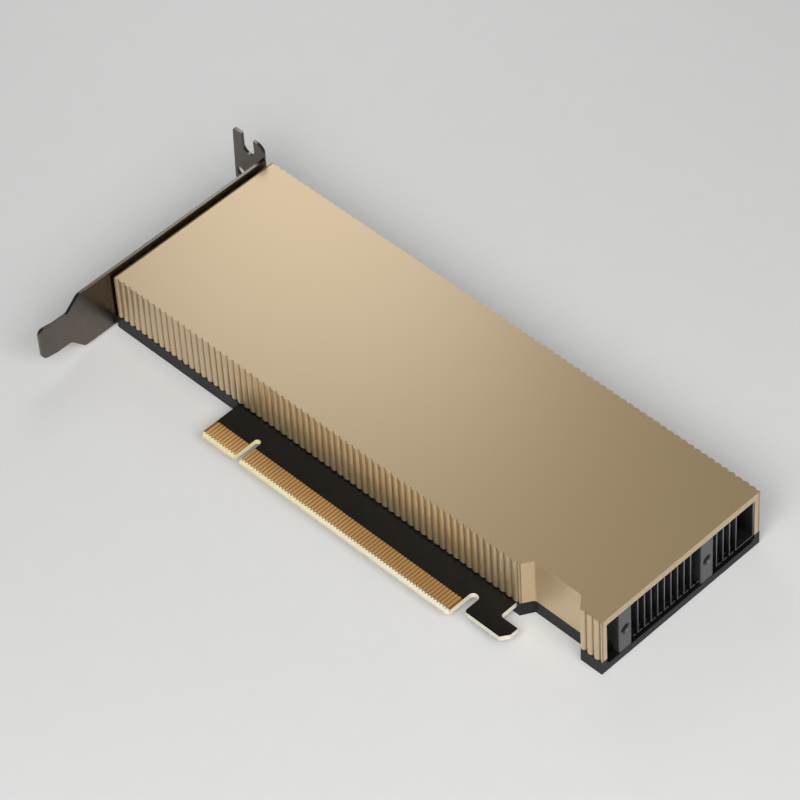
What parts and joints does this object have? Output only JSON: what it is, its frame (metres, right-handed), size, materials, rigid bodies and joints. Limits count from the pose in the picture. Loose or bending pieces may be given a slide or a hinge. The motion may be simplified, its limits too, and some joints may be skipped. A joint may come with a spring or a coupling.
{
  "type": "passive accelerator card",
  "caption": "Low-profile, single-slot accelerator card cooled by the server's own air, with a fluted metal cover, a shallow tray, an edge connector with hook and an end bracket.",
  "frame": {"origin": "middle of the tray's underside, the face the card lies on", "axes": "+X along the card from the bracket to the open tail, -Y towards the edge connector, +Z from the tray up to the cover"},
  "size_m": [0.1803, 0.0801, 0.0244],
  "materials": {
    "gold_metal": "satin champagne gold",
    "dark_metal": "satin dark grey",
    "bracket_steel": "satin, plated",
    "board": "black lacquer",
    "gold_contact": "polished gold plating",
    "heatsink_metal": "matt",
    "post_metal": "satin dark grey",
    "package": "matt laminate",
    "package_metal": "satin",
    "die": "polished silicon",
    "paste": "soft grey paste",
    "chip_plastic": "matt black",
    "thermal_pad": "soft grey pad",
    "coil_metal": "moulded iron powder",
    "ceramic": "tan ceramic",
    "film": "thin black film",
    "screw_steel": "dark plated"
  },
  "bodies": {
    "root": {"cover": "gold_metal", "tray": "dark_metal", "bracket": "bracket_steel", "circuit_board": "board", "contacts_top": "gold_contact", "contacts_bottom": "gold_contact", "heatsink_base": "heatsink_metal", "fin_stack": "heatsink_metal", "rear_post_near": "post_metal", "rear_post_far": "post_metal", "chip_package": "package", "chip_stiffener": "package_metal", "chip_die": "die", "thermal_paste": "paste", "memory_chips": "chip_plastic", "memory_pads": "thermal_pad", "coils": "coil_metal", "power_stages": "chip_plastic", "power_pads": "thermal_pad", "bulk_capacitors": "chip_plastic", "filter_capacitors": "ceramic", "coupling_capacitors": "ceramic", "flash_chip": "chip_plastic", "controller_chip": "chip_plastic", "clock_crystal": "package_metal", "insulating_sheet": "film", "bracket_screws": "screw_steel", "sink_screws": "screw_steel", "cover_screws": "screw_steel", "post_screws": "screw_steel"}
  },
  "joints": []
}
